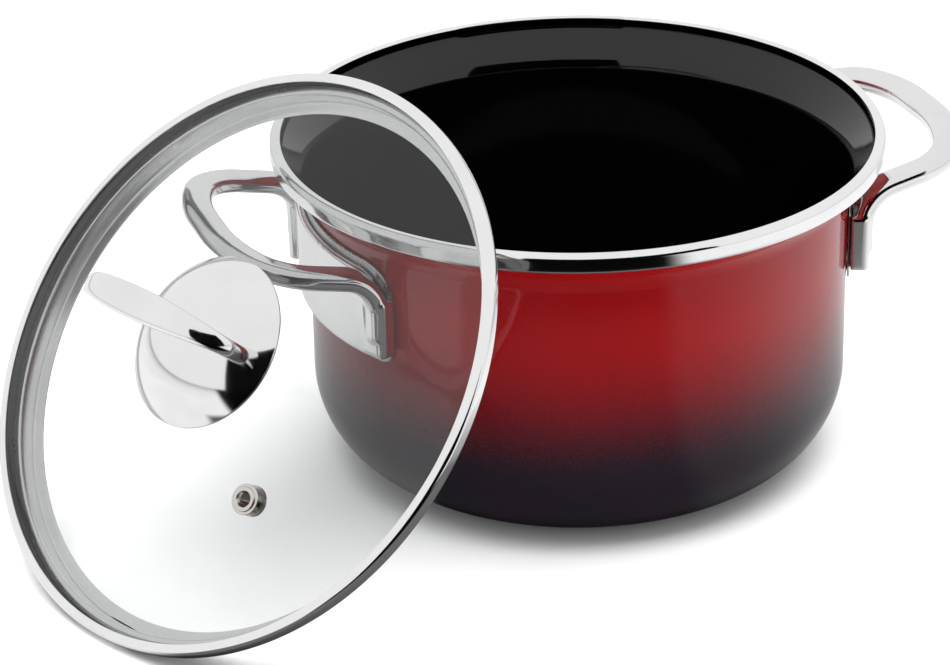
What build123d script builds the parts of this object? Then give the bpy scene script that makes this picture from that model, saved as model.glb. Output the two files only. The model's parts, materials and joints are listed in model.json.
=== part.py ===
from build123d import *
import os
from math import cos, radians, sin, sqrt, tan

os.makedirs("parts", exist_ok=True)

# Frame: millimetres, +Z up, origin at the middle of the pot's base on the table.
# The two handles stand on the X axis.

# ---- Pot ----
wall_radius = 110.0  # outside of the straight wall
wall = 1.6  # enamelled steel
corner_radius = 38.0  # outside, between base and wall
flare_z = 123.0  # where the wall would turn outwards if it had no bend radius
flare_angle = 45.0
flare_bend = 12.0
rim_radius = 121.7  # outside of the upright edge that the ring grips
rim_bend = 5.0
rim_top_z = 138.3

# ---- Rim ring, a folded stainless cap ----
ring_radius = 124.3
ring_inner_radius = 119.8
ring_foot_z = 133.0
ring_top_z = 140.2
ring_skirt_gap = 0.3
ring_outer_round = 2.2
ring_inner_round = 0.8
ring_foot_round = 1.0

# ---- Handles ----
seat_gap = 0.05  # between two pieces that are seated on each other
handle_half_angle = 25.5  # of each foot, either side of the X axis
bracket_thickness = 1.5
bracket_half_width = 51.5
bracket_bottom_z = 74.5
bracket_top_z = 116.0
bracket_foot_corner = 6.0
bracket_head_corner = 14.0
foot_width = 13.0
foot_depth = 7.6
foot_bottom_z = 80.5
foot_top_z = 104.0
foot_edge_round = 2.6
web_depth = 3.2
web_bottom_z = 77.0
web_top_z = 113.0
bar_width = 12.4
bar_thickness = 7.6
bar_section_round = 3.2
bar_root_z = 112.4
bar_rise = 0.214  # height gained for each millimetre outwards
bar_shoulder_x = 143.5
bar_end_x = 155.8
bar_end_half_width = 21.5
bar_root_bend = 16.0
bar_shoulder_bend = 24.0
bar_end_bend = 70.0
stud_radius = 2.5
stud_length = 6.6
stud_z = 93.0

# ---- Lid, in its own frame: +Z out through the knob, X along the knob's arch ----
lid_radius = 118.0
sheet = 0.7
glass_radius = 115.2
glass_thickness = 4.0
glass_rise = 18.0
glass_edge_z = -3.2  # underside of the glass at its edge
fold_lip_radius = 113.9  # inner edge of the fold over the glass
fold_top_round = 1.9
fold_foot_round = 1.2
skirt_radius = 110.5
skirt_bottom_z = -12.0
skirt_lip_radius = 105.5
knob_hole_radius = 4.0
vent_x = -49.7
vent_y = 46.3
vent_hole_radius = 3.6

# ---- Steam vent ----
eyelet_radius = 3.5
eyelet_bore_radius = 2.3
eyelet_flange_radius = 5.9
eyelet_flange = 0.9
eyelet_funnel = 1.0
vent_gasket = 0.5
vent_gasket_radius = 4.9
eyelet_tail = 1.4

# ---- Knob ----
dome_radius = 34.5
dome_rise = 17.5
dome_sheet = 1.0
dome_gap = 0.4
gasket_thickness = 1.0
outer_gasket_radius = 13.0
inner_gasket_radius = 9.0
washer_radius = 8.0
washer_thickness = 1.2
hub_flange_radius = 12.0
hub_flange = 2.0
hub_radius = 6.0
screw_radius = 2.5
screw_head_radius = 4.8
screw_head = 2.6
screw_slot = 1.2
thread_gap = 0.05
arch_foot_x = 29.0
arch_side_x = 43.5
arch_side_z = 30.0
arch_top_x = 25.0
arch_height = 46.0
arch_strap = 4.6
arch_top_width = 12.6
arch_leg_width = 7.4
arch_side_bend = 18.0
arch_top_bend = 24.0

# ---- How the lid leans on the pot, its knob side outwards and its edge on the table ----
lid_tilt = 49.24  # between the lid's axis and the vertical
lid_heading = 204.13  # direction of the lid's axis about Z
lid_centre = (-162.53, -53.19, 92.08)

# ---- Worked-out places ----
bracket_inner_radius = wall_radius + seat_gap
bracket_outer_radius = bracket_inner_radius + bracket_thickness
seat_radius = bracket_outer_radius + seat_gap
foot_centre_radius = seat_radius + foot_depth / 2
foot_x = foot_centre_radius * cos(radians(handle_half_angle))
foot_y = foot_centre_radius * sin(radians(handle_half_angle))
stud_hole_radius = stud_radius + seat_gap


def revolved(outline):
    """A ring or shell: a closed outline in the XZ plane turned about Z."""
    return revolve(make_face(Plane.XZ * outline), Axis.Z)


def flat_ring(outer, inner, thickness, bottom_z=0.0):
    """A washer standing on bottom_z."""
    align = (Align.CENTER, Align.CENTER, Align.MIN)
    ring = Cylinder(outer, thickness, align=align) - Cylinder(inner, thickness, align=align)
    return Pos(0, 0, bottom_z) * ring


# ---- Pot pieces ----


def pot_body():
    turn = wall * tan(radians(flare_angle / 2))
    rim_z = flare_z + (rim_radius - wall_radius) / tan(radians(flare_angle))
    outside = FilletPolyline(
        (0, 0),
        (wall_radius, 0),
        (wall_radius, flare_z),
        (rim_radius, rim_z),
        (rim_radius, rim_top_z),
        radius=[corner_radius, flare_bend, rim_bend],
    )
    inside = FilletPolyline(
        (rim_radius - wall, rim_top_z),
        (rim_radius - wall, rim_z + turn),
        (wall_radius - wall, flare_z + turn),
        (wall_radius - wall, wall),
        (0, wall),
        radius=[rim_bend - wall, flare_bend + wall, corner_radius - wall],
    )
    edge = Line(outside @ 1, inside @ 0)
    axis_line = Line(inside @ 1, outside @ 0)
    return revolved(Wire([*outside.edges(), edge, *inside.edges(), axis_line]))


def rim_ring():
    skirt_inside = rim_radius + ring_skirt_gap
    cap_under_z = rim_top_z + seat_gap
    outline = Polyline(
        (ring_inner_radius, cap_under_z),
        (skirt_inside, cap_under_z),
        (skirt_inside, ring_foot_z),
        (ring_radius, ring_foot_z),
        (ring_radius, ring_top_z),
        (ring_inner_radius, ring_top_z),
        close=True,
    )
    face = make_face(outline)
    corners = {
        (ring_radius, ring_top_z): ring_outer_round,
        (ring_inner_radius, ring_top_z): ring_inner_round,
        (ring_radius, ring_foot_z): ring_foot_round,
    }
    for (x, z), round_radius in corners.items():
        corner = face.vertices().sort_by_distance((x, z, 0))[0]
        face = fillet(corner, round_radius)
    return revolve(Plane.XZ * face, Axis.Z)


def rounded_slab(half_width, bottom_z, top_z):
    """A slab with rounded corners, seen along X, that reaches across the +X side of the pot."""
    outline = FilletPolyline(
        (half_width, bottom_z),
        (half_width, top_z),
        (-half_width, top_z),
        (-half_width, bottom_z),
        radius=[bracket_foot_corner, bracket_head_corner, bracket_head_corner, bracket_foot_corner],
        close=True,
    )
    face = Plane.YZ * make_face(outline)
    return Pos(wall_radius / 2, 0, 0) * extrude(face, wall_radius)


def wall_patch(inner_radius, depth, half_width, bottom_z, top_z):
    """A curved plate that follows the wall on its +X side."""
    shell = flat_ring(inner_radius + depth, inner_radius, top_z - bottom_z, bottom_z)
    return shell & rounded_slab(half_width, bottom_z, top_z)


def at_foot(side, radius, z):
    """Place something at one of the feet, its +X pointing straight out of the wall."""
    return Rot(0, 0, side * handle_half_angle) * Pos(radius, 0, z)


def foot_pin(side, radius, start, length):
    """A round pin or hole through one foot, square to the wall."""
    return at_foot(side, start + length / 2, stud_z) * Rot(0, 90, 0) * Cylinder(radius, length)


def handle_bracket():
    plate = wall_patch(
        bracket_inner_radius, bracket_thickness, bracket_half_width, bracket_bottom_z, bracket_top_z
    )
    for side in (1, -1):
        plate -= foot_pin(side, stud_hole_radius, wall_radius - wall, 2 * (wall + bracket_thickness))
    return plate


def handle_path():
    """Centre line of the bar: up one foot, out, round the loop and back down the other foot."""
    shoulder_z = bar_root_z + bar_rise * (bar_shoulder_x - foot_x)
    end_z = bar_root_z + bar_rise * (bar_end_x - foot_x)
    half = [
        (foot_x, foot_y, foot_bottom_z + bar_thickness),
        (foot_x, foot_y, bar_root_z),
        (bar_shoulder_x, foot_y, shoulder_z),
        (bar_end_x, bar_end_half_width, end_z),
    ]
    other_half = [(x, -y, z) for x, y, z in reversed(half)]
    bends = [bar_root_bend, bar_shoulder_bend, bar_end_bend]
    return FilletPolyline(*half, *other_half, radius=bends + bends[::-1])


def handle():
    """Cast handle: a loop of flat bar, two feet and the curved web between them."""
    path = handle_path()
    section_plane = Plane(path @ 0, x_dir=(0, 1, 0), z_dir=(0, 0, 1))
    section = section_plane * RectangleRounded(bar_width, bar_thickness, bar_section_round)
    body = sweep(section, path=path)
    foot_height = foot_top_z - foot_bottom_z
    for side in (1, -1):
        foot = Box(foot_depth + wall, foot_width, foot_height)
        foot = fillet(foot.edges().filter_by(Axis.Z).group_by(Axis.X)[-1], foot_edge_round)
        foot_middle = seat_radius + (foot_depth - wall) / 2
        body += at_foot(side, foot_middle, foot_bottom_z + foot_height / 2) * foot
    body += wall_patch(seat_radius, web_depth, foot_y, web_bottom_z, web_top_z)
    body -= Cylinder(seat_radius, 2 * ring_top_z)
    for side in (1, -1):
        body -= foot_pin(side, stud_hole_radius, wall_radius, stud_length + seat_gap)
    return body


def handle_studs():
    start = wall_radius + 2 * seat_gap
    length = stud_length - 2 * seat_gap
    return Compound(children=[foot_pin(side, stud_radius, start, length) for side in (1, -1)])


# ---- Lid pieces, each in the lid's own frame ----


def sphere_radius(chord_radius, rise):
    return (chord_radius**2 + rise**2) / (2 * rise)


def cap_height(distance, chord_radius, rise):
    """Height of a spherical cap above its chord, at a distance from its axis."""
    sphere = sphere_radius(chord_radius, rise)
    return sqrt(sphere**2 - distance**2) - (sphere - rise)


def cap_shell(chord_radius, rise, thickness, bottom_z):
    """A domed sheet; bottom_z is the height of its underside's edge."""
    middle = chord_radius / 2
    middle_z = bottom_z + cap_height(middle, chord_radius, rise)
    crown_z = bottom_z + rise
    top = ThreePointArc(
        (0, crown_z + thickness), (middle, middle_z + thickness), (chord_radius, bottom_z + thickness)
    )
    under = ThreePointArc((chord_radius, bottom_z), (middle, middle_z), (0, crown_z))
    edge = Line(top @ 1, under @ 0)
    axis_line = Line(under @ 1, top @ 0)
    return revolved(Wire([top, edge, under, axis_line]))


def glass_under_z(distance):
    return glass_edge_z + cap_height(distance, glass_radius, glass_rise)


def glass_top_z(distance):
    return glass_under_z(distance) + glass_thickness


def vent_place():
    """The middle of the vent on top of the glass, +Z square to the glass."""
    distance = sqrt(vent_x**2 + vent_y**2)
    normal = (vent_x, vent_y, sqrt(sphere_radius(glass_radius, glass_rise) ** 2 - distance**2))
    return Plane(origin=(vent_x, vent_y, glass_top_z(distance)), z_dir=normal).location


def lid_glass():
    glass = cap_shell(glass_radius, glass_rise, glass_thickness, glass_edge_z)
    glass -= Cylinder(knob_hole_radius, 4 * glass_rise)
    return glass - vent_place() * Cylinder(vent_hole_radius, 4 * glass_thickness)


def lid_band():
    """Folded stainless edge: it wraps the glass's edge, and a deep skirt hangs from it."""
    groove = glass_radius + seat_gap
    lip_z = glass_top_z(fold_lip_radius) + seat_gap
    groove_top_z = glass_edge_z + glass_thickness + seat_gap
    under_z = glass_edge_z - seat_gap
    top_outside = (lid_radius, lip_z + sheet)
    foot_outside = (lid_radius, under_z - sheet)
    face = make_face(
        Polyline(
            (fold_lip_radius, lip_z),
            (fold_lip_radius, lip_z + sheet),
            top_outside,
            foot_outside,
            (skirt_radius + sheet, under_z - sheet),
            (skirt_radius + sheet, skirt_bottom_z),
            (skirt_lip_radius, skirt_bottom_z),
            (skirt_lip_radius, skirt_bottom_z + sheet),
            (skirt_radius, skirt_bottom_z + sheet),
            (skirt_radius, under_z),
            (groove, under_z),
            (groove, groove_top_z),
            close=True,
        )
    )
    for (x, z), round_radius in ((top_outside, fold_top_round), (foot_outside, fold_foot_round)):
        face = fillet(face.vertices().sort_by_distance((x, z, 0))[0], round_radius)
    return revolve(Plane.XZ * face, Axis.Z)


def vent_eyelet():
    """Steel eyelet: a funnelled flange on the outside and a tube through the glass."""
    flange_bottom = vent_gasket + 2 * seat_gap
    flange_top = flange_bottom + eyelet_flange
    tail_bottom = -glass_thickness - eyelet_flange - eyelet_tail
    outline = Polyline(
        (eyelet_bore_radius, tail_bottom),
        (eyelet_radius, tail_bottom),
        (eyelet_radius, flange_bottom),
        (eyelet_flange_radius, flange_bottom),
        (eyelet_flange_radius, flange_top - eyelet_flange / 2),
        (eyelet_flange_radius - eyelet_flange / 2, flange_top),
        (eyelet_bore_radius + eyelet_funnel, flange_top),
        (eyelet_bore_radius, flange_top - eyelet_funnel),
        close=True,
    )
    return vent_place() * revolved(outline)


def vent_gasket_ring():
    return vent_place() * flat_ring(vent_gasket_radius, eyelet_radius + seat_gap, vent_gasket, seat_gap)


def vent_washer():
    bottom = -glass_thickness - eyelet_flange - 4 * seat_gap
    return vent_place() * flat_ring(eyelet_flange_radius, eyelet_radius + seat_gap, eyelet_flange, bottom)


outer_gasket_z = glass_top_z(0) + seat_gap
hub_z = outer_gasket_z + gasket_thickness + seat_gap
inner_gasket_z = glass_under_z(inner_gasket_radius) - seat_gap - gasket_thickness
washer_z = inner_gasket_z - seat_gap - washer_thickness
dome_edge_z = glass_top_z(dome_radius) + dome_gap
hub_top_z = dome_edge_z + cap_height(hub_radius, dome_radius, dome_rise) - seat_gap
screw_tip_z = hub_top_z - hub_radius


def knob_dome():
    return cap_shell(dome_radius, dome_rise, dome_sheet, dome_edge_z)


def knob_hub():
    """Threaded hub inside the dome, clamped on the glass by the screw."""
    flange = flat_ring(hub_flange_radius, screw_radius, hub_flange, hub_z)
    post_bottom = hub_z + hub_flange / 2
    post = flat_ring(hub_radius, screw_radius, hub_top_z - post_bottom, post_bottom)
    bore_top = screw_tip_z + thread_gap
    plug = Pos(0, 0, (bore_top + hub_top_z) / 2) * Cylinder(hub_radius, hub_top_z - bore_top)
    bore_height = 2 * (bore_top - hub_z)
    return flange + post + plug - Pos(0, 0, hub_z) * Cylinder(screw_radius + thread_gap, bore_height)


def arch_face(inset):
    """The arch seen from the side, drawn inset from its outside."""
    foot_x_inset = arch_foot_x - inset
    side_x = arch_side_x - inset
    top_x = arch_top_x - inset / 2
    top_z = arch_height - inset
    outline = FilletPolyline(
        (-foot_x_inset, 0),
        (-side_x, arch_side_z),
        (-top_x, top_z),
        (top_x, top_z),
        (side_x, arch_side_z),
        (foot_x_inset, 0),
        radius=[arch_side_bend - inset, arch_top_bend - inset, arch_top_bend - inset, arch_side_bend - inset],
    )
    return make_face(Plane.XZ * Wire([*outline.edges(), Line(outline @ 1, outline @ 0)]))


def knob_loop():
    """Arched strap, widest over its crown, its two legs cut to sit on the dome."""
    side_view = extrude(arch_face(0) - arch_face(arch_strap), arch_top_width, both=True)
    tip = arch_side_x + arch_strap
    leg = arch_leg_width / 2
    crown = arch_top_width / 2
    plan = Wire(
        [
            ThreePointArc((-tip, -leg), (0, -crown), (tip, -leg)),
            Line((tip, -leg), (tip, leg)),
            ThreePointArc((tip, leg), (0, crown), (-tip, leg)),
            Line((-tip, leg), (-tip, -leg)),
        ]
    )
    strap = Pos(0, 0, dome_edge_z) * (side_view & extrude(make_face(plan), 2 * arch_height))
    sphere = sphere_radius(dome_radius, dome_rise)
    centre_z = dome_edge_z + dome_rise - sphere + dome_sheet
    strap -= Pos(0, 0, centre_z) * Sphere(sphere + seat_gap)
    return strap


def knob_screw():
    """Pan-head screw from inside the lid, with a straight slot."""
    head_top = washer_z - seat_gap
    shank = Pos(0, 0, (head_top + screw_tip_z) / 2) * Cylinder(screw_radius, screw_tip_z - head_top)
    head = Pos(0, 0, head_top - screw_head / 2) * Cylinder(screw_head_radius, screw_head)
    head = fillet(head.edges().group_by(Axis.Z)[0], screw_head / 3)
    slot = Pos(0, 0, head_top - screw_head) * Box(2 * screw_head_radius, screw_slot, screw_head)
    return shank + (head - slot)


def knob_washer():
    return flat_ring(washer_radius, screw_radius + 2 * thread_gap, washer_thickness, washer_z)


def outer_gasket():
    return flat_ring(outer_gasket_radius, screw_radius + 2 * thread_gap, gasket_thickness, outer_gasket_z)


def inner_gasket():
    return flat_ring(inner_gasket_radius, screw_radius + 2 * thread_gap, gasket_thickness, inner_gasket_z)


def leaning(piece):
    """Take a piece from the lid's own frame to where the lid leans."""
    tilt = radians(lid_tilt)
    heading = radians(lid_heading)
    normal = (sin(tilt) * cos(heading), sin(tilt) * sin(heading), cos(tilt))
    level = (sin(heading), -cos(heading), 0)
    return Plane(origin=lid_centre, x_dir=level, z_dir=normal).location * piece


def other_side(piece):
    return Rot(0, 0, 180) * piece


nodes = {
    "pot_body": pot_body(),
    "rim_ring": rim_ring(),
    "right_bracket": handle_bracket(),
    "left_bracket": other_side(handle_bracket()),
    "right_handle": handle(),
    "left_handle": other_side(handle()),
    "right_handle_studs": handle_studs(),
    "left_handle_studs": other_side(handle_studs()),
    "lid_glass": leaning(lid_glass()),
    "lid_band": leaning(lid_band()),
    "vent_eyelet": leaning(vent_eyelet()),
    "vent_gasket": leaning(vent_gasket_ring()),
    "vent_washer": leaning(vent_washer()),
    "knob_dome": leaning(knob_dome()),
    "knob_hub": leaning(knob_hub()),
    "knob_loop": leaning(knob_loop()),
    "knob_screw": leaning(knob_screw()),
    "knob_washer": leaning(knob_washer()),
    "knob_outer_gasket": leaning(outer_gasket()),
    "knob_inner_gasket": leaning(inner_gasket()),
}

for name, shape in nodes.items():
    export_step(shape, f"parts/{name}.step")
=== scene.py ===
import json
from math import copysign, cos, hypot, pi, radians, sin, sqrt, tan

import bmesh
import bpy
from mathutils import Matrix, Vector


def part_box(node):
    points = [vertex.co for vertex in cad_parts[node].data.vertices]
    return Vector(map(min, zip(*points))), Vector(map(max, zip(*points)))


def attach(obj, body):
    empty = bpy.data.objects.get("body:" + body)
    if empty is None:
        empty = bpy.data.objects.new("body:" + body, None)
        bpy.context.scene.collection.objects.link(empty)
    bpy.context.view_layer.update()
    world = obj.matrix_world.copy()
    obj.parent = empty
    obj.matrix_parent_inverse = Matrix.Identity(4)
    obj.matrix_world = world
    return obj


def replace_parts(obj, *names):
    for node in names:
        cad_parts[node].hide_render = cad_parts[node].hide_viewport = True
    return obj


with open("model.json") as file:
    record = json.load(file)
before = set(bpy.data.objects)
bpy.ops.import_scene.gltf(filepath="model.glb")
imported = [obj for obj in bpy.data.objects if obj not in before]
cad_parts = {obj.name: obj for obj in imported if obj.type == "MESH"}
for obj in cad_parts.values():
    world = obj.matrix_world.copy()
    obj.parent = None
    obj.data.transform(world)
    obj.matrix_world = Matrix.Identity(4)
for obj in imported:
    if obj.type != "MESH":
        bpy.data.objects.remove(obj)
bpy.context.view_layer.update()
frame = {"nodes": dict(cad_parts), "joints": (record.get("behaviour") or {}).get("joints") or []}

MM = 0.001
TURNS = 288  # facets round each turned piece
SEAT = 0.05  # gap between two pieces that are seated on each other

# ---- Sizes, in millimetres, the same as the frame's where both have them ----
WALL_RADIUS = 110.0
WALL = 1.6
CORNER_RADIUS = 38.0
FLARE_Z = 123.0
FLARE_BEND = 12.0
FLARE_ANGLE = radians(45.0)
RIM_RADIUS = 121.7
RIM_BEND = 5.0
RIM_TOP_Z = 138.3
RING_RADIUS = 124.3
RING_INNER_RADIUS = 119.8
RING_FOOT_Z = 133.0
RING_TOP_Z = 140.2
RING_SKIRT_GAP = 0.3
BRACKET_RADIUS = 110.05
BRACKET_THICKNESS = 1.5
BRACKET_HALF_WIDTH = 51.5
BRACKET_BOTTOM_Z = 74.5
BRACKET_TOP_Z = 116.0
BRACKET_FOOT_CORNER = 6.0
BRACKET_HEAD_CORNER = 14.0
PLATE_SHEET = 0.45
LIP_ROLL = 0.9
LIP_WIDTH = 2.4
DISH_WIDTH = 11.0
DISH_DEPTH = 0.9
PLATE_COLUMNS, PLATE_ROWS = 160, 64
SHY_OF_EDGE = 0.99999  # keeps the end columns from closing to a point
HANDLE_CELL = 0.55
HANDLE_EASE_STEPS = 14
LID_RADIUS = 118.0
SHEET = 0.7
GLASS_RADIUS = 115.2
GLASS_THICKNESS = 4.0
GLASS_RISE = 18.0
GLASS_EDGE_Z = -3.2
GLASS_SHARP = 40.0  # degrees
FOLD_LIP_RADIUS = 113.9
SKIRT_RADIUS = 110.5
SKIRT_BOTTOM_Z = -12.0
SKIRT_LIP_RADIUS = 105.5
# Past these radii the flange beneath the pane is painted darker steel: painted shade from the fold
# above it.
PAINTED_DARK_RADIUS = 114.0
SHADE_RADIUS = 112.8
KNOB_HOLE_RADIUS = 4.0
VENT_X, VENT_Y = -49.7, 46.3
VENT_HOLE_RADIUS = 3.6
DOME_RADIUS = 34.5
DOME_RISE = 17.5
DOME_SHEET = 1.0
DOME_GAP = 0.4
ARCH_STRAP = 4.6
ARCH_CROWN_HALF_WIDTH = 6.3
ARCH_LEG_HALF_WIDTH = 3.2
ARCH_LINE = [(28.4, 0, 3.5), (41.2, 0, 30.0), (23.85, 0, 43.7)]  # middle of the strap, half of it
ARCH_BENDS = [15.7, 21.7, 21.7, 15.7]
ARCH_STEP = 1.6
ARCH_REACH = 39.0  # where the strap is down to its leg's width
ROUND = 44  # points round the strap's section
FULLNESS = 0.8  # 1 would be an ellipse, 0 a box


# ---- Outlines ----


def filleted(points, radii, steps=9, closed=False):
    """Points with each corner turned into an arc; radii gives one radius for each inner corner."""
    points = [Vector(p) for p in points]
    count = len(points)
    out = [] if closed else [points[0]]
    corners = range(count) if closed else range(1, count - 1)
    for i, radius in zip(corners, radii):
        before, corner, after = points[i - 1], points[i], points[(i + 1) % count]
        if radius <= 0:
            out.append(corner)
            continue
        u = (before - corner).normalized()
        v = (after - corner).normalized()
        opening = u.angle(v)
        middle = corner + (u + v).normalized() * radius / sin(opening / 2)
        a = corner + u * radius / tan(opening / 2) - middle
        b = corner + v * radius / tan(opening / 2) - middle
        turn = a.angle(b)
        for k in range(steps + 1):
            t = k / steps
            out.append(middle + (a * sin((1 - t) * turn) + b * sin(t * turn)) / sin(turn))
    if not closed:
        out.append(points[-1])
    return out


def spaced(points, longest, closed=False):
    """The same line with no step longer than the given length."""
    out = []
    pairs = list(zip(points, points[1:] + points[:1] if closed else points[1:]))
    for a, b in pairs:
        parts = max(1, round((b - a).length / longest + 0.49))
        out += [a.lerp(b, k / parts) for k in range(parts)]
    if not closed:
        out.append(points[-1])
    return out


# ---- Mesh making ----


def finished(name, bm, sharp=50.0):
    """An object of its own from a bmesh in millimetres, smooth but for its true edges."""
    bmesh.ops.remove_doubles(bm, verts=bm.verts, dist=0.0005)
    bmesh.ops.recalc_face_normals(bm, faces=bm.faces)
    bm.transform(Matrix.Scale(MM, 4))
    mesh = bpy.data.meshes.new(name)
    bm.to_mesh(mesh)
    bm.free()
    mesh.polygons.foreach_set("use_smooth", [True] * len(mesh.polygons))
    mesh.set_sharp_from_angle(angle=radians(sharp))
    obj = bpy.data.objects.new(name, mesh)
    bpy.context.scene.collection.objects.link(obj)
    return obj


def turned(name, outline, sharp=50.0, slots=None, closed=True):
    """A turned piece: an (r, z) outline swept about Z. slots(step) gives a face its material."""
    bm = bmesh.new()
    rings = []
    for r, z in outline:
        if r < 1e-6:
            rings.append([bm.verts.new((0, 0, z))] * TURNS)
            continue
        angles = [2 * pi * k / TURNS for k in range(TURNS)]
        rings.append([bm.verts.new((r * cos(a), r * sin(a), z)) for a in angles])
    steps = len(rings) if closed else len(rings) - 1
    for i in range(steps):
        low, high = rings[i], rings[(i + 1) % len(rings)]
        for k in range(TURNS):
            corners = [low[k], low[(k + 1) % TURNS], high[(k + 1) % TURNS], high[k]]
            corners = [v for n, v in enumerate(corners) if v not in corners[:n]]
            if len(corners) > 2:
                face = bm.faces.new(corners)
                face.material_index = slots(i) if slots else 0
    return finished(name, bm, sharp)


def lofted(name, sections):
    """A bar through closed sections of equal count, capped at both ends."""
    bm = bmesh.new()
    loops = [[bm.verts.new(p) for p in section] for section in sections]
    count = len(loops[0])
    for a, b in zip(loops, loops[1:]):
        for k in range(count):
            bm.faces.new([a[k], a[(k + 1) % count], b[(k + 1) % count], b[k]])
    for loop in (loops[0], loops[-1]):
        middle = bm.verts.new(sum((v.co for v in loop), Vector()) / count)
        for k in range(count):
            bm.faces.new([loop[k], loop[(k + 1) % count], middle])
    return finished(name, bm)


# ---- Node materials ----


class Paint:
    """A node material with one Principled shader and short calls for its procedural inputs."""

    def __init__(self, name):
        self.mat = bpy.data.materials.new(name)
        self.mat.use_nodes = True
        self.tree = self.mat.node_tree
        self.shader = self.tree.nodes["Principled BSDF"]
        self.place = self.node("ShaderNodeTexCoord").outputs["Object"]

    def node(self, kind, inputs=None, **settings):
        made = self.tree.nodes.new(kind)
        for key, value in settings.items():
            setattr(made, key, value)
        for key, value in (inputs or {}).items():
            if isinstance(value, bpy.types.NodeSocket):
                self.tree.links.new(value, made.inputs[key])
            else:
                made.inputs[key].default_value = value
        return made

    def feed(self, name, value):
        if isinstance(value, bpy.types.NodeSocket):
            self.tree.links.new(value, self.shader.inputs[name])
        else:
            self.shader.inputs[name].default_value = value

    def stretched(self, x, y, z):
        return self.node("ShaderNodeMapping", {"Vector": self.place, "Scale": (x, y, z)}).outputs[0]

    def noise(self, scale, detail=3.0, rough=0.55, place=None):
        inputs = {"Vector": place or self.place}
        inputs |= {"Scale": scale, "Detail": detail, "Roughness": rough}
        return self.node("ShaderNodeTexNoise", inputs).outputs["Fac"]

    def cells(self, scale):
        inputs = {"Vector": self.place, "Scale": scale}
        colour = self.node("ShaderNodeTexVoronoi", inputs).outputs["Color"]
        return self.node("ShaderNodeSeparateColor", {0: colour}).outputs[0]

    def ranged(self, value, low, high, out_low=0.0, out_high=1.0, smooth=False):
        inputs = {"Value": value, 1: low, 2: high, 3: out_low, 4: out_high}
        kind = "SMOOTHSTEP" if smooth else "LINEAR"
        return self.node("ShaderNodeMapRange", inputs, interpolation_type=kind).outputs[0]

    def math(self, operation, a, b=0.0, c=0.0, clamp=False):
        inputs = {0: a, 1: b, 2: c}
        return self.node("ShaderNodeMath", inputs, operation=operation, use_clamp=clamp).outputs[0]

    def blend(self, amount, a, b):
        made = self.node("ShaderNodeMix", data_type="RGBA")
        for index, value in ((0, amount), (6, a), (7, b)):
            if isinstance(value, bpy.types.NodeSocket):
                self.tree.links.new(value, made.inputs[index])
            else:
                made.inputs[index].default_value = value
        return made.outputs[2]

    def bump(self, height, distance, strength=1.0):
        inputs = {"Height": height, "Distance": distance, "Strength": strength}
        self.feed("Normal", self.node("ShaderNodeBump", inputs).outputs[0])


BLACK_BELOW, RED_ABOVE = 0.036, 0.102  # metres above the floor
SPECK_SHARE = 0.22
MIRROR_EDGE_ON, MIRROR_FACE_ON = 0.97, 0.028


def rgb(r, g, b):
    return (r, g, b, 1.0)


def enamel_outside():
    p = Paint("enamel_shaded_red")
    height = p.node("ShaderNodeSeparateXYZ", {0: p.place}).outputs[2]
    drift = p.ranged(p.noise(14.0, 2.0), 0.3, 0.7, -0.002, 0.002)
    red_share = p.ranged(p.math("ADD", height, drift), BLACK_BELOW, RED_ABOVE, smooth=True)
    speck = p.ranged(p.math("SUBTRACT", red_share, p.cells(2600.0)), -0.3, 0.3)
    even_share = p.math("MULTIPLY", red_share, 1 - SPECK_SHARE)
    share = p.math("MULTIPLY_ADD", speck, SPECK_SHARE, even_share)
    tone = p.ranged(p.noise(9.0, 2.0), 0.25, 0.75)
    red = p.blend(tone, rgb(0.205, 0.0018, 0.0032), rgb(0.225, 0.0028, 0.0044))
    black = p.blend(p.noise(2600.0, 1.0), rgb(0.004, 0.004, 0.0075), rgb(0.0075, 0.0072, 0.0125))
    p.feed("Base Color", p.blend(share, black, red))
    p.feed("Roughness", p.ranged(p.noise(70.0, 3.0), 0.3, 0.7, 0.035, 0.075))
    p.bump(p.noise(210.0, 2.0), 0.00006, 0.5)
    p.feed("IOR", 1.52)
    return p.mat


def enamel_inside():
    p = Paint("enamel_black")
    black = p.blend(p.noise(1900.0, 1.0), rgb(0.0003, 0.0003, 0.0003), rgb(0.0009, 0.0009, 0.001))
    p.feed("Base Color", black)
    p.feed("Roughness", p.ranged(p.noise(60.0, 3.0), 0.3, 0.7, 0.04, 0.09))
    p.bump(p.noise(190.0, 2.0), 0.00005, 0.5)
    p.feed("IOR", 1.5)
    return p.mat


def polished(name, tone, rough_low, rough_high, wave=0.00002, wave_scale=90.0, tint=(1, 1, 1)):
    """Polished steel: faint hazy patches and a hint of waviness left by the wheel."""
    p = Paint(name)
    haze = p.ranged(p.noise(38.0, 4.0, 0.6), 0.3, 0.7)
    lines = p.noise(900.0, 2.0, 0.6, p.stretched(1.0, 0.12, 1.0))
    light = rgb(*(tone * c for c in tint))
    shade = rgb(*(0.94 * tone * c for c in tint))
    p.feed("Base Color", p.blend(haze, shade, light))
    p.feed("Metallic", 1.0)
    rough = p.math("MULTIPLY_ADD", lines, 0.02, p.ranged(haze, 0.0, 1.0, rough_low, rough_high))
    p.feed("Roughness", rough)
    p.bump(p.noise(wave_scale, 2.0), wave, 1.0)
    return p.mat


def satin(name, tone, across):
    """Satin steel with a fine one-way grain."""
    p = Paint(name)
    grain = p.noise(700.0, 3.0, 0.6, p.stretched(*across))
    shade = 0.9 * tone
    p.feed("Base Color", p.blend(grain, rgb(shade, shade, shade), rgb(tone, tone, tone)))
    p.feed("Metallic", 1.0)
    p.feed("Roughness", p.ranged(grain, 0.3, 0.7, 0.16, 0.30))
    p.bump(grain, 0.00002, 0.6)
    return p.mat


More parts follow.
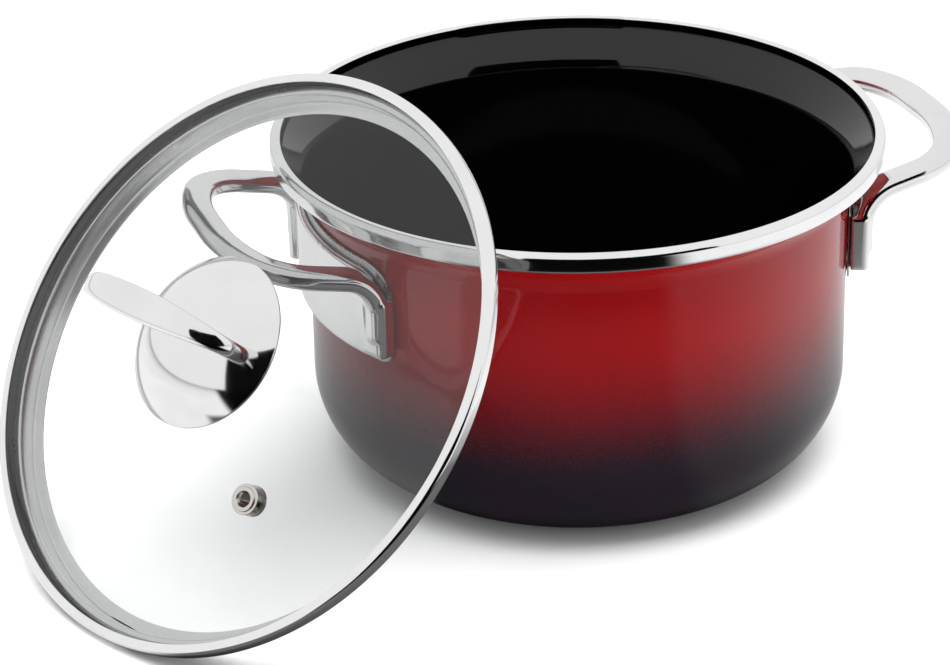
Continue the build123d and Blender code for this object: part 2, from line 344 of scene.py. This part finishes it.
def silicone():
    p = Paint("silicone")
    p.feed("Base Color", p.blend(p.noise(120.0), rgb(0.62, 0.62, 0.60), rgb(0.72, 0.72, 0.70)))
    p.feed("Roughness", p.ranged(p.noise(300.0), 0.3, 0.7, 0.38, 0.52))
    p.feed("Subsurface Weight", 0.15)
    p.feed("Subsurface Scale", 0.002)
    p.bump(p.noise(800.0), 0.00003, 0.4)
    return p.mat


def clear_glass():
    """Thin toughened glass: what is behind it shows straight through, under its own reflections."""
    p = Paint("clear_glass")
    facing = p.node("ShaderNodeLayerWeight", {"Blend": 0.5}).outputs["Facing"]
    grazing = p.math("POWER", facing, 5.0)
    mirror = p.math("MULTIPLY_ADD", grazing, MIRROR_EDGE_ON, MIRROR_FACE_ON, clamp=True)
    smear = p.ranged(p.noise(22.0, 4.0), 0.35, 0.65)
    clear_tint = p.blend(smear, rgb(0.885, 0.89, 0.892), rgb(0.90, 0.905, 0.906))
    clear = p.node("ShaderNodeBsdfTransparent", {"Color": clear_tint})
    gloss_rough = p.ranged(smear, 0.0, 1.0, 0.01, 0.03)
    gloss = p.node("ShaderNodeBsdfGlossy", {"Color": rgb(1, 1, 1), "Roughness": gloss_rough})
    mix = p.node("ShaderNodeMixShader", {0: mirror, 1: clear.outputs[0], 2: gloss.outputs[0]})
    p.tree.links.new(mix.outputs[0], p.tree.nodes["Material Output"].inputs[0])
    p.tree.nodes.remove(p.shader)
    return p.mat


def floor_paint():
    p = Paint("pale_floor")
    p.feed("Base Color", p.blend(p.noise(3.0, 2.0), rgb(0.90, 0.90, 0.90), rgb(0.93, 0.93, 0.93)))
    p.feed("Roughness", p.ranged(p.noise(20.0), 0.3, 0.7, 0.5, 0.6))
    p.feed("Specular IOR Level", 0.2)
    return p.mat


OUTSIDE = enamel_outside()
INSIDE = enamel_inside()
TRIM = polished("polished_trim", 0.89, 0.05, 0.09)
CAST = polished("polished_cast", 0.82, 0.05, 0.11, 0.00004, 60.0)
KNOB = polished("polished_knob", 0.86, 0.05, 0.10, 0.00002, 50.0)
VENT = polished("vent_steel", 0.66, 0.16, 0.24, 0.00001, 300.0, (1.0, 0.96, 0.92))
PLATE = satin("satin_plate", 0.50, (1.0, 1.0, 6.0))
SKIRT = polished("satin_skirt", 0.93, 0.18, 0.24, 0.000005)
# Painted shade: darker steel tones for the flange beneath the pane, where the band's fold shades
# it.
PAINTED_CREASE_SHADE = polished("painted_crease_shade_steel", 0.14, 0.3, 0.4, 0.000005)
PAINTED_HALF_SHADE = polished("painted_half_shade_steel", 0.50, 0.2, 0.3, 0.000005)
TURNED = satin("turned_steel", 0.62, (1.0, 1.0, 1.0))
SEAL = silicone()
GLASS = clear_glass()


def dressed(obj, body, slot, nodes, *paints):
    """Give a piece its paints, the nodes that it stands for and the body it rides on; the slot
    argument is not used.
    """
    for paint in paints:
        obj.data.materials.append(paint)
    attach(obj, body)
    if nodes:
        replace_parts(obj, *nodes)
    return obj


# ---- Pot ----


def pot_outline():
    """(r, z) outline of the wall, out and back inside, with the step where the inside starts."""
    turn = WALL * tan(FLARE_ANGLE / 2)
    rim_z = FLARE_Z + RIM_RADIUS - WALL_RADIUS
    outer = filleted(
        [
            (0, 0),
            (WALL_RADIUS, 0),
            (WALL_RADIUS, FLARE_Z),
            (RIM_RADIUS, rim_z),
            (RIM_RADIUS, RIM_TOP_Z),
        ],
        [CORNER_RADIUS, FLARE_BEND, RIM_BEND],
        24,
    )
    inner = filleted(
        [
            (RIM_RADIUS - WALL, RIM_TOP_Z),
            (RIM_RADIUS - WALL, rim_z + turn),
            (WALL_RADIUS - WALL, FLARE_Z + turn),
            (WALL_RADIUS - WALL, WALL),
            (0, WALL),
        ],
        [RIM_BEND - WALL, FLARE_BEND + WALL, CORNER_RADIUS - WALL],
        24,
    )
    outer = spaced(outer, 4.0)
    inner = spaced(inner, 4.0)
    return outer + inner, len(outer)


outline, inner_start = pot_outline()
pot = turned("pot_shell", outline, 60.0, lambda i: 1 if i >= inner_start - 1 else 0, closed=False)
dressed(pot, "pot", "enamel", ["pot_body"], OUTSIDE, INSIDE)


def ring_outline():
    skirt = RIM_RADIUS + RING_SKIRT_GAP
    under = RIM_TOP_Z + SEAT
    corners = [
        (RING_INNER_RADIUS, under),
        (skirt, under),
        (skirt, RING_FOOT_Z),
        (RING_RADIUS, RING_FOOT_Z),
        (RING_RADIUS, RING_TOP_Z),
        (RING_INNER_RADIUS, RING_TOP_Z),
    ]
    return spaced(filleted(corners, [0, 0, 0.35, 1.0, 2.2, 0.8], 10, closed=True), 1.5, closed=True)


ring = turned("rim_trim", ring_outline())
dressed(ring, "pot", "stainless_trim", ["rim_ring"], TRIM)


def corner_drop(across, corner):
    """How far a round corner of the plate has fallen from its straight edge."""
    into_corner = max(0.0, abs(across) - (BRACKET_HALF_WIDTH - corner))
    return corner - sqrt(max(0.0, corner**2 - into_corner**2))


def inset(across, z):
    """How far a point of the plate lies from the plate's outline."""
    middle = (BRACKET_BOTTOM_Z + BRACKET_TOP_Z) / 2
    corner = BRACKET_HEAD_CORNER if z > middle else BRACKET_FOOT_CORNER
    over_x = abs(across) - (BRACKET_HALF_WIDTH - corner)
    over_z = abs(z - middle) - ((BRACKET_TOP_Z - BRACKET_BOTTOM_Z) / 2 - corner)
    return corner - hypot(max(over_x, 0), max(over_z, 0)) - min(max(over_x, over_z), 0)


def plate_radius(across, z):
    """The plate's outer face: a rolled edge, a narrow flat lip, then a shallow dish."""
    edge = max(0.0, inset(across, z))
    roll = min(edge / LIP_ROLL, 1.0)
    fall = (BRACKET_THICKNESS - PLATE_SHEET - SEAT) * (1 - sqrt(1 - (1 - roll) ** 2))
    t = min(max((edge - LIP_WIDTH) / DISH_WIDTH, 0.0), 1.0)
    return BRACKET_RADIUS + BRACKET_THICKNESS - fall - DISH_DEPTH * t * t * (3 - 2 * t)


def bracket(name, side):
    """A pressed plate with round corners and a raised lip, bent to the wall."""
    bm = bmesh.new()
    grid = []
    for c in range(PLATE_COLUMNS + 1):
        across = -cos(pi * c / PLATE_COLUMNS) * BRACKET_HALF_WIDTH * SHY_OF_EDGE
        bottom_z = BRACKET_BOTTOM_Z + corner_drop(across, BRACKET_FOOT_CORNER)
        top_z = BRACKET_TOP_Z - corner_drop(across, BRACKET_HEAD_CORNER)
        column = []
        for r in range(PLATE_ROWS + 1):
            z = bottom_z + (top_z - bottom_z) * (1 - cos(pi * r / PLATE_ROWS)) / 2
            column.append(bm.verts.new((sqrt(plate_radius(across, z) ** 2 - across**2), across, z)))
        grid.append(column)
    for a, b in zip(grid, grid[1:]):
        for r in range(PLATE_ROWS):
            bm.faces.new([a[r], b[r], b[r + 1], a[r + 1]])
    bmesh.ops.rotate(bm, verts=bm.verts, matrix=Matrix.Rotation(side, 3, "Z"))
    plate = finished(name, bm)
    # The thickness goes inwards, whichever way the sheet's faces came out.
    out = plate.data.polygons[len(plate.data.polygons) // 2]
    outward = out.normal.dot(Vector((out.center.x, out.center.y, 0))) > 0
    thick = plate.modifiers.new("thickness", "SOLIDIFY")
    thick.thickness = PLATE_SHEET * MM
    thick.offset = -1.0 if outward else 1.0
    return dressed(plate, "pot", "stainless_bracket", [], PLATE)


PLATES = ("right_plate", "right_bracket", 0.0), ("left_plate", "left_bracket", pi)
for name, node, side in PLATES:
    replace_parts(bracket(name, side), node)


def cast_handle(name, node):
    """The frame's handle skinned afresh in small cells, then eased so that its corners flow."""
    source = frame["nodes"][node]
    mesh = source.data.copy()
    mesh.name = name
    handle = bpy.data.objects.new(name, mesh)
    bpy.context.scene.collection.objects.link(handle)
    bm = bmesh.new()
    bm.from_mesh(mesh)
    bmesh.ops.remove_doubles(bm, verts=bm.verts, dist=2e-6)
    bm.to_mesh(mesh)
    bm.free()
    skin = handle.modifiers.new("skin", "REMESH")
    skin.mode = "VOXEL"
    skin.voxel_size = HANDLE_CELL * MM
    skin.use_smooth_shade = True
    ease = handle.modifiers.new("ease", "SMOOTH")
    ease.factor = 0.5
    ease.iterations = HANDLE_EASE_STEPS
    graph = bpy.context.evaluated_depsgraph_get()
    made = bpy.data.meshes.new_from_object(handle.evaluated_get(graph))
    handle.modifiers.clear()
    made.materials.clear()
    handle.data = made
    return dressed(handle, "pot", "polished_handle", [node], CAST)


cast_handle("right_loop", "right_handle")
cast_handle("left_loop", "left_handle")


# ---- Lid: built level about its own axis, then set where the frame has it ----


def sphere_radius(chord, rise):
    return (chord**2 + rise**2) / (2 * rise)


def cap_height(distance, chord, rise):
    sphere = sphere_radius(chord, rise)
    return sqrt(sphere**2 - distance**2) - (sphere - rise)


def glass_under(distance):
    return GLASS_EDGE_Z + cap_height(distance, GLASS_RADIUS, GLASS_RISE)


def band_outline():
    groove = GLASS_RADIUS + SEAT
    lip_z = glass_under(FOLD_LIP_RADIUS) + GLASS_THICKNESS + SEAT
    groove_top = GLASS_EDGE_Z + GLASS_THICKNESS + SEAT
    under = GLASS_EDGE_Z - SEAT
    corners = [
        (FOLD_LIP_RADIUS, lip_z),
        (FOLD_LIP_RADIUS, lip_z + SHEET),
        (LID_RADIUS, lip_z + SHEET),
        (LID_RADIUS, under - SHEET),
        (SKIRT_RADIUS + SHEET, under - SHEET),
        (SKIRT_RADIUS + SHEET, SKIRT_BOTTOM_Z),
        (SKIRT_LIP_RADIUS, SKIRT_BOTTOM_Z),
        (SKIRT_LIP_RADIUS, SKIRT_BOTTOM_Z + SHEET),
        (SKIRT_RADIUS, SKIRT_BOTTOM_Z + SHEET),
        (SKIRT_RADIUS, under),
        (groove, under),
        (groove, groove_top),
    ]
    radii = [0.12, 0.3, 1.9, 1.2, 0.8, 1.2, 0.3, 0.3, 0.6, 0.9, 0, 0]
    return spaced(filleted(corners, radii, 8, closed=True), 1.5, closed=True)


axis = Vector(frame["joints"][0]["axis"]).normalized()
level = Vector((axis.y, -axis.x, 0)).normalized()
level = level if level.cross(axis).z > 0 else -level
downhill = axis.cross(level)
tilt = Matrix((level, downhill, axis)).transposed().to_4x4()

edge_line = band_outline()


def edge_slot(i):
    """Polished outside, satin on the skirt, and painted shade in the crease that grips the pane:
    darkest steel outermost, a half-dark step inside it.
    """
    r, z = (edge_line[i] + edge_line[(i + 1) % len(edge_line)]) / 2
    if z < GLASS_EDGE_Z - SHEET / 2 or r < SKIRT_RADIUS + 1:
        return 1 if z < GLASS_EDGE_Z else 0
    if r > GLASS_RADIUS + 0.3 or z > GLASS_EDGE_Z + GLASS_THICKNESS:
        return 0
    # Painted shade under the fold: darkest steel outermost, half-dark steel just inside.
    if r > PAINTED_DARK_RADIUS:
        return 2
    return 3 if r > SHADE_RADIUS else 1


band = turned("lid_edge", edge_line, slots=edge_slot)
band.data.transform(tilt)
points = [v.co for v in band.data.vertices]
low = Vector(min(p[i] for p in points) for i in range(3))
high = Vector(max(p[i] for p in points) for i in range(3))
node_low, node_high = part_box("lid_band")
lid_centre = (node_low + node_high - low - high) / 2
lean = Matrix.Translation(lid_centre) @ tilt
band.data.transform(Matrix.Translation(lid_centre))
dressed(band, "lid", "stainless_trim", ["lid_band"], TRIM, SKIRT, PAINTED_CREASE_SHADE, PAINTED_HALF_SHADE)


def on_lid(obj, slot, nodes, *paints):
    obj.data.transform(lean)
    return dressed(obj, "lid", slot, nodes, *paints)


def glass_outline():
    """The domed pane, its rim ground round and its knob hole drilled."""
    radii = [KNOB_HOLE_RADIUS + (GLASS_RADIUS - KNOB_HOLE_RADIUS) * k / 60 for k in range(61)]
    top = [(r, glass_under(r) + GLASS_THICKNESS) for r in radii]
    under = [(r, glass_under(r)) for r in reversed(radii)]
    rim_r, rim_z = GLASS_RADIUS, GLASS_EDGE_Z
    top[-1:] = [(rim_r - 0.6, top[-1][1] + 0.15), (rim_r, rim_z + GLASS_THICKNESS - 0.5)]
    under[:1] = [(rim_r, rim_z + 0.5), (rim_r - 0.5, rim_z + 0.12)]
    return [Vector(p) for p in top + under]


glass = turned("lid_pane", glass_outline(), GLASS_SHARP)

vent_distance = sqrt(VENT_X**2 + VENT_Y**2)
sphere = sphere_radius(GLASS_RADIUS, GLASS_RISE)
vent_axis = Vector((VENT_X, VENT_Y, sqrt(sphere**2 - vent_distance**2))).normalized()
vent_top = Vector((VENT_X, VENT_Y, glass_under(vent_distance) + GLASS_THICKNESS))
vent_turn = vent_axis.to_track_quat("Z", "Y").to_matrix().to_4x4()
vent_place = Matrix.Translation(vent_top * MM) @ vent_turn


def drilled(pane):
    """The vent's hole, cut through the pane with a plug that is then thrown away."""
    top, bottom = 2 * GLASS_THICKNESS, -3 * GLASS_THICKNESS
    outline = [(0, top), (VENT_HOLE_RADIUS, top), (VENT_HOLE_RADIUS, bottom), (0, bottom)]
    plug = turned("plug", [Vector(p) for p in outline], closed=False)
    plug.data.transform(vent_place)
    cut = pane.modifiers.new("vent_hole", "BOOLEAN")
    cut.operation = "DIFFERENCE"
    cut.solver = "EXACT"
    cut.object = plug
    graph = bpy.context.evaluated_depsgraph_get()
    made = bpy.data.meshes.new_from_object(pane.evaluated_get(graph))
    pane.modifiers.clear()
    pane.data = made
    bpy.data.objects.remove(plug)
    made.set_sharp_from_angle(angle=radians(GLASS_SHARP))


drilled(glass)
on_lid(glass, "lid_glass", ["lid_glass"], GLASS)


def eyelet_outline():
    """A tube with a flat flange and a raised bead round its mouth."""
    corners = [
        (2.3, -6.3),
        (3.5, -6.3),
        (3.5, 0.6),
        (5.9, 0.6),
        (5.9, 1.35),
        (4.75, 1.35),
        (4.75, 2.2),
        (3.2, 2.2),
        (2.3, 0.7),
    ]
    radii = [0.2, 0.4, 0, 0.35, 0.34, 0.25, 0.5, 0.5, 0.6]
    return spaced(filleted(corners, radii, 6, closed=True), 0.5, closed=True)


eyelet = turned("vent_flange", eyelet_outline())
eyelet.data.transform(vent_place)
on_lid(eyelet, "vent_steel", ["vent_eyelet"], VENT)

dome_edge_z = glass_under(DOME_RADIUS) + GLASS_THICKNESS + DOME_GAP


def dome_outline():
    """A pressed shell with a turned rim and a soft edge."""
    ball = sphere_radius(DOME_RADIUS, DOME_RISE)
    steps = 48
    radii = [DOME_RADIUS * sin(0.5 * pi * k / steps) for k in range(steps + 1)]
    top = [(r, dome_edge_z + DOME_SHEET + sqrt(ball**2 - r**2) - (ball - DOME_RISE)) for r in radii]
    under = [(r, z - DOME_SHEET) for r, z in reversed(top)]
    edge_top, edge_under = top[-1][1], under[0][1]
    top[-1:] = [(DOME_RADIUS - 0.25, edge_top + 0.12), (DOME_RADIUS - 0.05, edge_top - 0.15)]
    edge_middle = (edge_top + edge_under) / 2
    under[:1] = [(DOME_RADIUS, edge_middle), (DOME_RADIUS - 0.12, edge_under + 0.08)]
    return [Vector(p) for p in top + under]


dome = turned("knob_cap", dome_outline(), closed=False)
on_lid(dome, "knob_steel", ["knob_dome"], KNOB)


def arch():
    """The knob's strap: a rounded flat bar, widest over its crown, its feet cut to the dome."""
    outline = [(-x, y, z) for x, y, z in ARCH_LINE] + ARCH_LINE[::-1]
    path = spaced(filleted(outline, ARCH_BENDS, 16), ARCH_STEP)
    half = ARCH_STRAP / 2
    ball = sphere_radius(DOME_RADIUS, DOME_RISE)
    ball_middle = Vector((0, 0, DOME_RISE - ball))
    sections = []
    for i, p in enumerate(path):
        along = (path[min(i + 1, len(path) - 1)] - path[max(i - 1, 0)]).normalized()
        outward = Vector((0, 1, 0)).cross(along)
        bow = min(1.0, (p.x / ARCH_REACH) ** 2)
        width = ARCH_CROWN_HALF_WIDTH + (ARCH_LEG_HALF_WIDTH - ARCH_CROWN_HALF_WIDTH) * bow
        section = []
        for k in range(ROUND):
            across, deep = cos(2 * pi * k / ROUND), sin(2 * pi * k / ROUND)
            across = copysign(abs(across) ** FULLNESS, across) * width
            deep = copysign(abs(deep) ** FULLNESS, deep) * half
            point = p + Vector((0, 1, 0)) * across + outward * deep
            if i in (0, len(path) - 1):
                way = along if i else -along
                gap = point - ball_middle
                forward = gap.dot(way)
                inside = forward**2 - gap.length_squared + (ball + DOME_SHEET / 2) ** 2
                point = point + way * (-forward - sqrt(max(0.0, inside)))
            section.append(point + Vector((0, 0, dome_edge_z)))
        sections.append(section)
    return lofted("knob_arch", sections)


on_lid(arch(), "knob_steel", ["knob_loop"], KNOB)

# ---- Pieces kept from the frame, with better paint ----
for node, paint in {
    "right_handle_studs": TURNED,
    "left_handle_studs": TURNED,
    "vent_gasket": SEAL,
    "vent_washer": VENT,
    "knob_hub": TURNED,
    "knob_screw": TURNED,
    "knob_washer": TURNED,
    "knob_outer_gasket": SEAL,
    "knob_inner_gasket": SEAL,
}.items():
    kept = frame["nodes"][node]
    kept.data.materials.clear()
    kept.data.materials.append(paint)


# ---- Camera at the photograph's angle ----
camera_place = Vector((-0.4696, -1.1757, 0.6819))
camera_aim = Vector((-0.0432, 0.0068, 0.0518))
camera_roll = radians(1.258)
lens = bpy.data.cameras.new("camera")
lens.sensor_width = 36.0
lens.lens = 128.84
lens.clip_end = 50.0
camera = bpy.data.objects.new("camera", lens)
bpy.context.scene.collection.objects.link(camera)
ahead = (camera_aim - camera_place).normalized()
flat_right = ahead.cross(Vector((0, 0, 1))).normalized()
flat_up = flat_right.cross(ahead)
right = flat_right * cos(camera_roll) - flat_up * sin(camera_roll)
up = flat_up * cos(camera_roll) + flat_right * sin(camera_roll)
turn = Matrix((right, up, -ahead)).transposed().to_4x4()
camera.matrix_world = Matrix.Translation(camera_place) @ turn
bpy.context.scene.camera = camera

# ---- Studio ----


def plane(name, corners):
    mesh = bpy.data.meshes.new(name)
    mesh.from_pydata(corners, [], [tuple(range(len(corners)))])
    obj = bpy.data.objects.new(name, mesh)
    bpy.context.scene.collection.objects.link(obj)
    return obj


FLOOR_HALF = 6.0
FLOOR_CORNERS = [(FLOOR_HALF * x, FLOOR_HALF * y) for x, y in ((-1, -1), (1, -1), (1, 1), (-1, 1))]
MIRROR_NEAR, MIRROR_FAR, MIRROR_LIFT = 0.088, 5.9, 0.0012
MIRROR_SECTORS = 60
# Wall cards that only mirrors see: a painted black reflection.
WALL_DISTANCE, WALL_HEIGHT = 1.8, 1.4
WALL_FIRST, WALL_SPREAD = 229, 68  # headings in degrees
WALL_CARDS = 24
PALE = 0.42  # the palest grey of the painted reflection of the floor, as mirrors see it
WALL_TONE = 0.002
OVERHEAD_HEIGHT, OVERHEAD_SIDE, OVERHEAD_POWER = 2.0, 2.6, 95.0
WORLD_STRENGTH = 0.94

floor = plane("floor", [(x, y, 0) for x, y in FLOOR_CORNERS])
floor.data.materials.append(floor_paint())


def around(heading, distance, z):
    return (distance * cos(radians(heading)), distance * sin(radians(heading)), z)


def card_paint(name, tone_at):
    """A matt grey paint; tone_at(paint) gives its grey."""
    p = Paint(name)
    grey = p.math("MULTIPLY", tone_at(p), p.ranged(p.noise(4.0), 0.3, 0.7, 0.95, 1.05))
    p.feed("Base Color", p.node("ShaderNodeCombineColor", {0: grey, 1: grey, 2: grey}).outputs[0])
    p.feed("Roughness", 1.0)
    p.feed("Specular IOR Level", 0.0)
    return p.mat


def painted_reflection_tone(p):
    """The floor as mirrors see it, a painted reflection: pale, grey at the right, dark before the
    pot, then black.
    """
    x, y = (p.node("ShaderNodeSeparateXYZ", {0: p.place}).outputs[i] for i in (0, 1))
    heading = p.math("ARCTAN2", y, x)
    distance = p.math("SQRT", p.math("ADD", p.math("MULTIPLY", x, x), p.math("MULTIPLY", y, y)))

    def past(first, last):
        """0 to 1 between two headings on the camera's side, in degrees."""
        return p.ranged(heading, radians(first - 360), radians(last - 360), smooth=True)

    def mixed(amount, low, high):
        """From low to high as the amount goes from 0 to 1."""
        return p.math("MULTIPLY_ADD", amount, p.math("SUBTRACT", high, low), low)

    beyond = p.ranged(distance, 0.33, 0.37, smooth=True)
    front = p.ranged(distance, 0.30, 0.37, 0.07, 0.001, smooth=True)
    near_side = p.ranged(heading, radians(-78), radians(-25), 0.17, 0.44, smooth=True)
    behind = p.ranged(heading, radians(20), radians(90))
    side = mixed(beyond, mixed(behind, near_side, PALE), PALE)
    left = p.math("MAXIMUM", past(210, 205), p.math("MINIMUM", past(224, 219), beyond))
    return mixed(left, mixed(past(275, 286), front, side), PALE)


def mirror_card(name, corners, paint):
    """A card that only mirrors see: a painted reflection."""
    card = plane(name, corners)
    card.data.materials.append(paint)
    card.visible_camera = False
    card.visible_diffuse = False
    card.visible_transmission = False
    card.visible_shadow = False


# Painted reflection: a grey card just over the floor that only mirrors see, darkest before the pot.
painted_reflection_grey = card_paint("painted_reflection_floor", painted_reflection_tone)
for k in range(MIRROR_SECTORS):
    a, b = (360 * n / MIRROR_SECTORS for n in (k, k + 1))
    near = [around(h, MIRROR_NEAR, MIRROR_LIFT) for h in (a, b)]
    far = [around(h, MIRROR_FAR, MIRROR_LIFT) for h in (b, a)]
    corners = near + far
    mirror_card(f"painted_reflection_floor_{k}", corners, painted_reflection_grey)

# Painted reflection: black cards on the camera's side that only mirrors see.
painted_reflection_black = card_paint("painted_reflection_wall", lambda p: WALL_TONE)
for k in range(WALL_CARDS):
    a, b = (WALL_FIRST + WALL_SPREAD * n / WALL_CARDS for n in (k, k + 1))
    foot = [around(h, WALL_DISTANCE, 0.0) for h in (a, b)]
    head = [around(h, WALL_DISTANCE, WALL_HEIGHT) for h in (b, a)]
    corners = foot + head
    mirror_card(f"painted_reflection_wall_{k}", corners, painted_reflection_black)


def soft_light(name, place, side, power):
    """A square light that shines straight down; neither the camera nor a mirror sees it."""
    data = bpy.data.lights.new(name, "AREA")
    data.shape = "SQUARE"
    data.size = side
    data.energy = power
    light = bpy.data.objects.new(name, data)
    bpy.context.scene.collection.objects.link(light)
    light.location = place
    light.visible_camera = False
    light.visible_glossy = False


soft_light("overhead", (0, 0, OVERHEAD_HEIGHT), OVERHEAD_SIDE, OVERHEAD_POWER)

world = bpy.data.worlds.new("studio")
world.use_nodes = True
background = world.node_tree.nodes["Background"]
background.inputs["Color"].default_value = rgb(1.0, 1.0, 1.0)
background.inputs["Strength"].default_value = WORLD_STRENGTH
bpy.context.scene.world = world
bpy.context.scene.view_settings.view_transform = "Standard"
